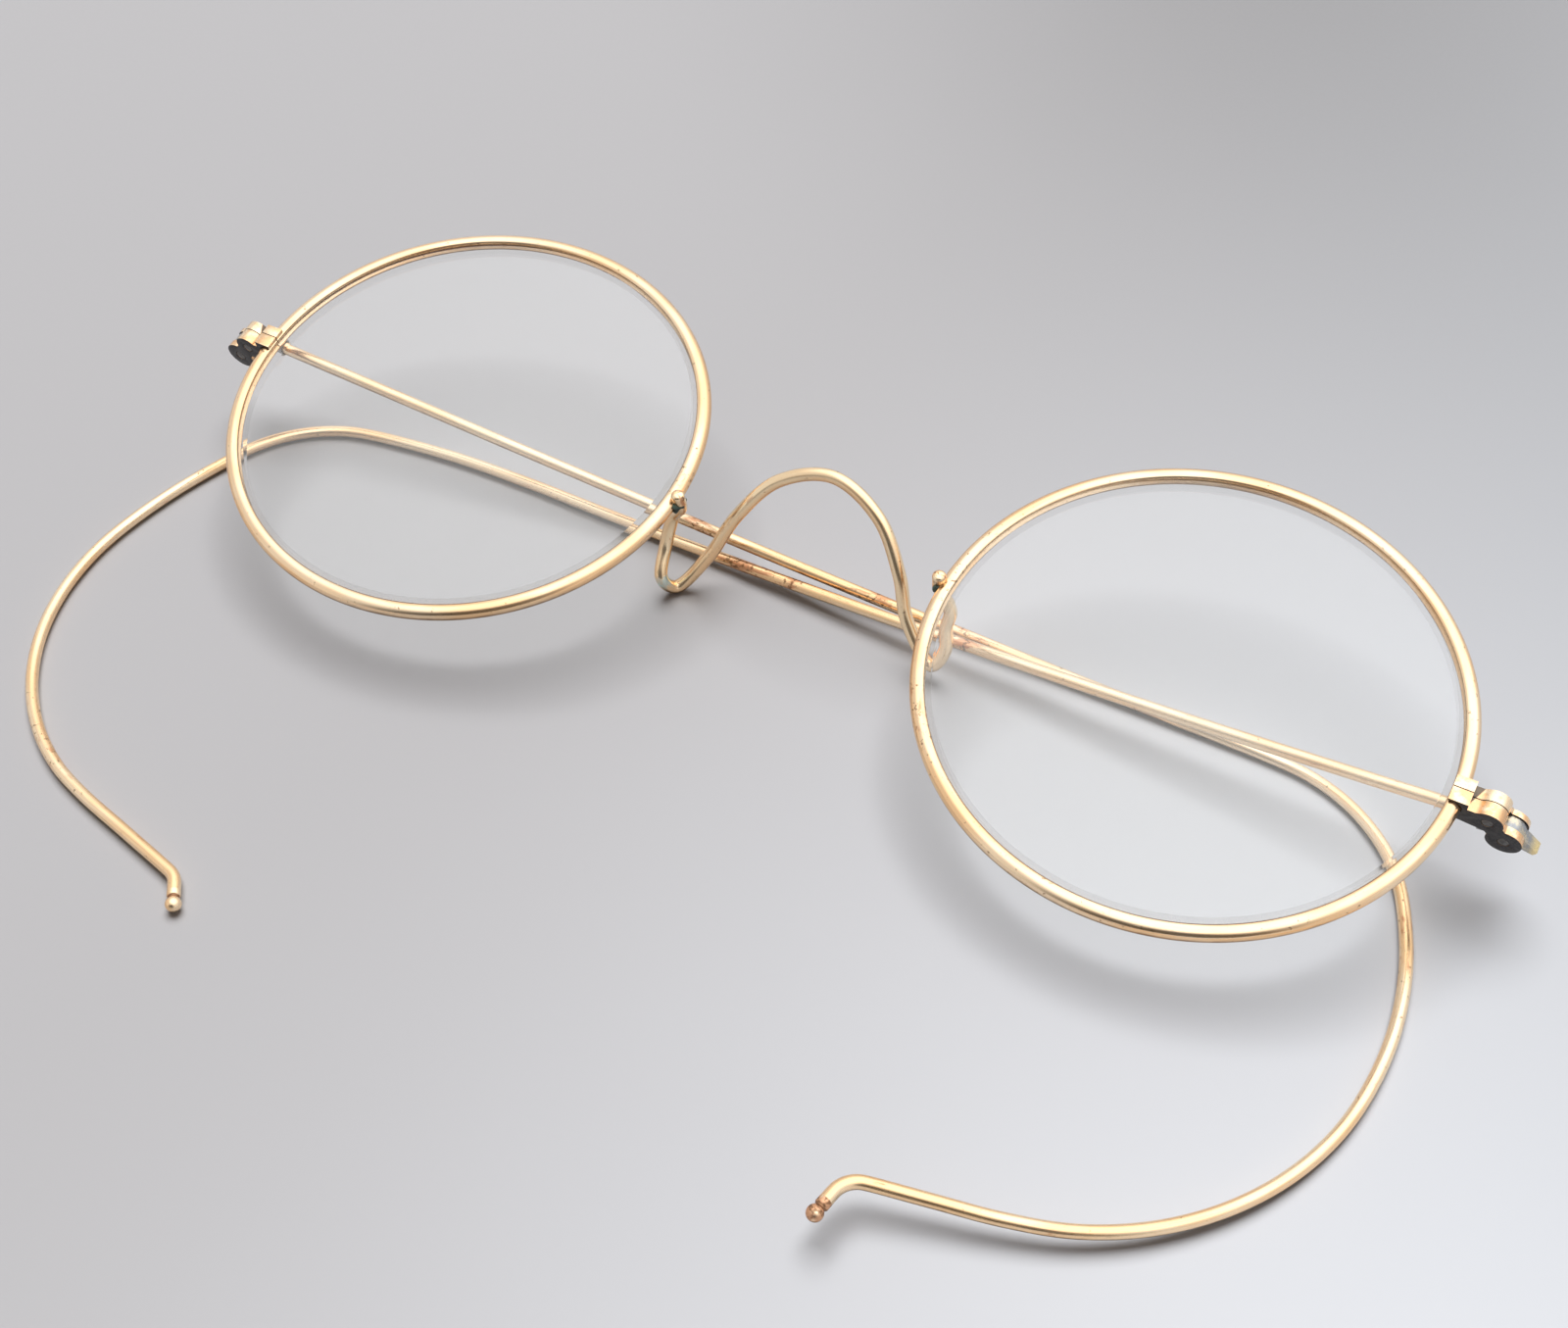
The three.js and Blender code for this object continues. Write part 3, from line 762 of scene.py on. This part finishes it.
def tarnished(name):
    """Bluish grey joint metal with gold left on its worn end."""
    n = Surface(name)
    body = n.coordinates()
    blotch = n.noise(body, scale=1100, detail=4, roughness=0.6)
    grain = n.noise(body, scale=6000, detail=3, roughness=0.6)
    outward = n.math("ABSOLUTE", n.along(body, (1, 0, 0)))
    colour = n.mix(n.span(blotch, 0.42, 0.6), JOINT_GREY, JOINT_TAN)
    colour = n.mix(n.span(grain, 0.62, 0.75, high=0.6), colour, JOINT_PITS)
    colour = n.mix(n.span(outward, HEEL_GOLD_FROM, HEEL_GOLD_TO), colour, HEEL_GOLD)
    n.set(base_color=colour, metallic=0.9, roughness=n.span(grain, 0.3, 0.7, low=0.24, high=0.4))
    n.bump(grain, strength=0.2, distance=FINE_BUMP)
    return n.material


def old_steel(name):
    """Dark steel of the screws."""
    n = Surface(name)
    grain = n.noise(n.coordinates(), scale=4200, detail=4, roughness=0.6)
    colour = n.mix(n.span(grain, 0.35, 0.7), DARK_STEEL, STEEL)
    n.set(base_color=colour, metallic=0.8, roughness=n.span(grain, 0.3, 0.7, low=0.32, high=0.5))
    n.bump(grain, strength=0.2, distance=FINE_BUMP)
    return n.material


def patina_solder(name):
    """Dark green verdigris with a few tan flecks of metal."""
    n = Surface(name)
    body = n.coordinates()
    blotch = n.noise(body, scale=1500, detail=5, roughness=0.65)
    grain = n.noise(body, scale=6000, detail=3, roughness=0.6)
    colour = n.mix(n.span(blotch, 0.38, 0.58), DARK_VERDIGRIS, VERDIGRIS)
    colour = n.mix(n.span(grain, 0.6, 0.75, high=0.5), colour, SOLDER_FLECKS)
    n.set(base_color=colour, metallic=0.25, roughness=n.span(grain, 0.3, 0.7, low=0.45, high=0.7))
    n.bump(blotch, strength=0.4, distance=SOLDER_BUMP)
    return n.material


def clear_glass(name):
    """Old lens glass, almost flat, so it hardly bends what is seen through it; its faces gleam as a coat does,
    with faint smears, and light for the table passes straight through."""
    n = Surface(name)
    smear = n.noise(n.coordinates(), scale=160, detail=4, roughness=0.6)
    n.set(base_color=GLASS, transmission_weight=1, ior=1.06, roughness=0, coat_weight=1, coat_ior=1.5,
          coat_roughness=n.span(smear, 0.55, 0.85, high=0.06))
    path = n.add("ShaderNodeLightPath").outputs
    n.clear(n.either(path["Is Shadow Ray"], path["Is Diffuse Ray"]), GLASS_SHADE)
    return n.material


def ground_glass(name):
    """The lens's bevel, ground matt, with a little dirt from the groove."""
    n = Surface(name)
    dirt = n.noise(n.coordinates(), scale=240, detail=4, roughness=0.6)
    colour = n.mix(n.span(dirt, 0.45, 0.7), BEVEL, BEVEL_DIRT)
    n.set(base_color=colour, roughness=n.span(dirt, 0.3, 0.7, low=0.45, high=0.7))
    n.bump(dirt, strength=0.2, distance=FINE_BUMP)
    n.clear(0.87)
    return n.material


def table_top(name):
    """Satin lavender-grey table, with painted light making it paler towards the front right and painted shade darker
    at the back, with a very fine grain.
    """
    n = Surface(name)
    body = n.coordinates()
    grain = n.noise(body, scale=2200, detail=2, roughness=0.5)
    cloud = n.noise(body, scale=14, detail=3, roughness=0.5)
    drift = n.times(cloud, 0.012)
    # Painted light and shade: the colour pales towards the front right and darkens at the back, as the lighting
    # would
    painted_light = n.span(n.plus(n.along(body, (0.995, -0.102, 0)), drift), -0.022, 0.113)
    painted_shade = n.span(n.plus(n.along(body, (0.720, 0.694, 0)), drift), 0.013, 0.114, high=0.36)
    n.set(
        base_color=n.mix(painted_shade, n.mix(painted_light, TABLE, LIT_TABLE), BLACK),
        roughness=n.span(grain, 0.3, 0.7, low=0.40, high=0.48),
        specular_ior_level=0.35,
    )
    n.bump(grain, strength=0.05, distance=TABLE_BUMP)
    return n.material


# under_shade sets how strongly each wire's underside is painted with shade
rim_gold = gold_wire("rim_gold", rub=(0.68, 0.84), polish=(0.14, 0.28), under_shade=(0.0, 0.6, 0.8),
                     tint=RIM_GOLD, pale=PALE_RIM_GOLD)
bridge_gold = gold_wire("bridge_gold", rub=(0.62, 0.80), polish=(0.16, 0.30), under_shade=(0.15, 0.85, 0.62),
                        tint=BRIDGE_GOLD, pale=PALE_BRIDGE_GOLD, deposit=place(DEPOSIT))
side_gold = dict(
    right=gold_wire("side_gold_right", rub=(0.62, 0.76), polish=(0.20, 0.34), under_shade=(0.3, 1.0, 0.45)),
    left=gold_wire("side_gold_left", rub=(0.62, 0.76), polish=(0.20, 0.34), under_shade=(0.0, 0.6, 0.8)),
)
upper_gold = plate_gold("endpiece_gold_upper", warmth=(0.46, 0.66))
lower_gold = plate_gold("endpiece_gold_lower", warmth=(0.36, 0.54))
joint_metal = tarnished("joint_metal")
screw_steel = old_steel("screw_steel")
lens_glass = clear_glass("lens_glass")
lens_bevel = ground_glass("lens_bevel")
solder_patina = patina_solder("solder_patina")

# The spectacles

bridge_points = curve_through(bridge_course(), BRIDGE_SPANS)
wire("bridge_bent", bridge_points, BRIDGE_WIRE / 2, "front", bridge_gold, "bridge", BRIDGE_WEAR,
     BRIDGE_SEGMENTS, round_ends=True)

for half, sign, name in ((LEFT_HALF, -1, "left"), (RIGHT_HALF, 1, "right")):
    seat = ((NASAL - SOLDER_IN) * sign, half["end"] - SOLDER_DOWN, -SOLDER_BACK)
    solder(name + "_solder", seat, (sign, 0, SOLDER_TILT), solder_patina)

for side in (RIGHT, LEFT):
    name = side["name"]
    eye_wire(side, rim_gold)
    lens(side, lens_glass, lens_bevel)
    eased(f"{name}_upper_endpiece", "front", upper_gold, PLATE_EASE)
    eased(f"{name}_lower_endpiece", "front", lower_gold, PLATE_EASE)
    for part in ("rim_screw", "hinge_screw"):
        eased(f"{name}_{part}", "front", screw_steel, SCREW_EASE)
    eased(f"{name}_side_joint", f"{name}_side", joint_metal, JOINT_EASE)
    course = curve_through(side_course(side), SIDE_SPANS)
    wire(f"{name}_side_wire_drawn", course, SIDE_WIRE / 2, f"{name}_side", side_gold[name], f"{name}_side_wire",
         SIDE_WEAR[name], SIDE_SEGMENTS)
    ball_end(side, course, side_gold[name])

# Table, light and camera

TABLE_HALF = 3
TABLE_GAP = 0.00002
LAMP_ENERGY = 3.0
LAMP_ANGLE = math.radians(45)
LAMP_AHEAD = Vector((0.11, -0.21, -0.60))
BACKDROP = 0.8
WARM_ROOM = (1.0, 0.88, 0.79, 1)
COOL_ROOM = (0.98, 0.985, 1.0, 1)
CAMERA_SENSOR = 36
CAMERA_LENS = 47.16
CAMERA_NEAR = 0.005
# In the lens frame
CAMERA_SPOT = (53.096, -76.013, 131.827)
CAMERA_RIGHT = Vector((0.879972, 0.464534, -0.099283))
CAMERA_UP = Vector((-0.352243, 0.778337, 0.519728))
CAMERA_AHEAD = Vector((-0.318707, 0.422374, -0.848543))

bm = bmesh.new()
bmesh.ops.create_grid(bm, x_segments=1, y_segments=1, size=TABLE_HALF)
floor_mesh = bpy.data.meshes.new("table_top")
bm.to_mesh(floor_mesh)
bm.free()
floor_object = bpy.data.objects.new("table_top", floor_mesh)
floor_object.location = (0, 0, cad_box[0].z - TABLE_GAP)
scene.collection.objects.link(floor_object)
floor_mesh.materials.append(table_top("table_satin"))

# A broad soft lamp makes the shadows; metal and glass show the pale room round it instead
lamp_data = bpy.data.lights.new("key", "SUN")
lamp_data.energy = LAMP_ENERGY
lamp_data.angle = LAMP_ANGLE
lamp = bpy.data.objects.new("key", lamp_data)
lamp.rotation_mode = "QUATERNION"
lamp.rotation_quaternion = LAMP_AHEAD.to_track_quat("-Z", "Y")
lamp.visible_glossy = False
lamp.visible_transmission = False
scene.collection.objects.link(lamp)

world = bpy.data.worlds.new("studio")
scene.world = world
world.use_nodes = True
room = Graph(world.node_tree)


def sky(direction, start, end, dark, bright):
    """Strength that grows from dark to bright towards a direction."""
    closeness = room.along(room.coordinates("Generated"), Vector(direction).normalized())
    return room.span(closeness, start, end, dark, bright)


# The room: dim and warm where it lights the table, plain and pale where it is seen, and for gleams
# brightest overhead with a darker onlooker in front
paths = room.add("ShaderNodeLightPath").outputs
looked_at = room.either(paths["Is Camera Ray"], paths["Is Transmission Ray"])
overhead = sky((0.15, 0.2, 0.97), 0.46, 0.94, dark=0.86, bright=2.05)
onlooker = sky((0.25, -0.95, 0.2), 0.68, 0.94, 1.0, 0.16)
table_light = sky((0.2, 0.1, 1), -0.2, 0.9, dark=0.08, bright=0.18)
strength = room.choose(looked_at, table_light, BACKDROP)
strength = room.choose(paths["Is Glossy Ray"], strength, room.times(overhead, onlooker))
background = room.add("ShaderNodeBackground")
room.link(room.mix(room.either(looked_at, paths["Is Glossy Ray"]), WARM_ROOM, COOL_ROOM), background.inputs["Color"])
room.link(strength, background.inputs["Strength"])
room.link(background.outputs[0], room.add("ShaderNodeOutputWorld").inputs["Surface"])

camera_data = bpy.data.cameras.new("camera")
camera_data.sensor_width = CAMERA_SENSOR
camera_data.lens = CAMERA_LENS
camera_data.clip_start = CAMERA_NEAR
camera = bpy.data.objects.new("camera", camera_data)
basis = (LEANING @ Matrix((CAMERA_RIGHT, CAMERA_UP, -CAMERA_AHEAD)).transposed()).to_4x4()
camera.matrix_world = Matrix.Translation(place(CAMERA_SPOT)) @ basis
scene.collection.objects.link(camera)
scene.camera = camera

scene.view_settings.view_transform = "Standard"
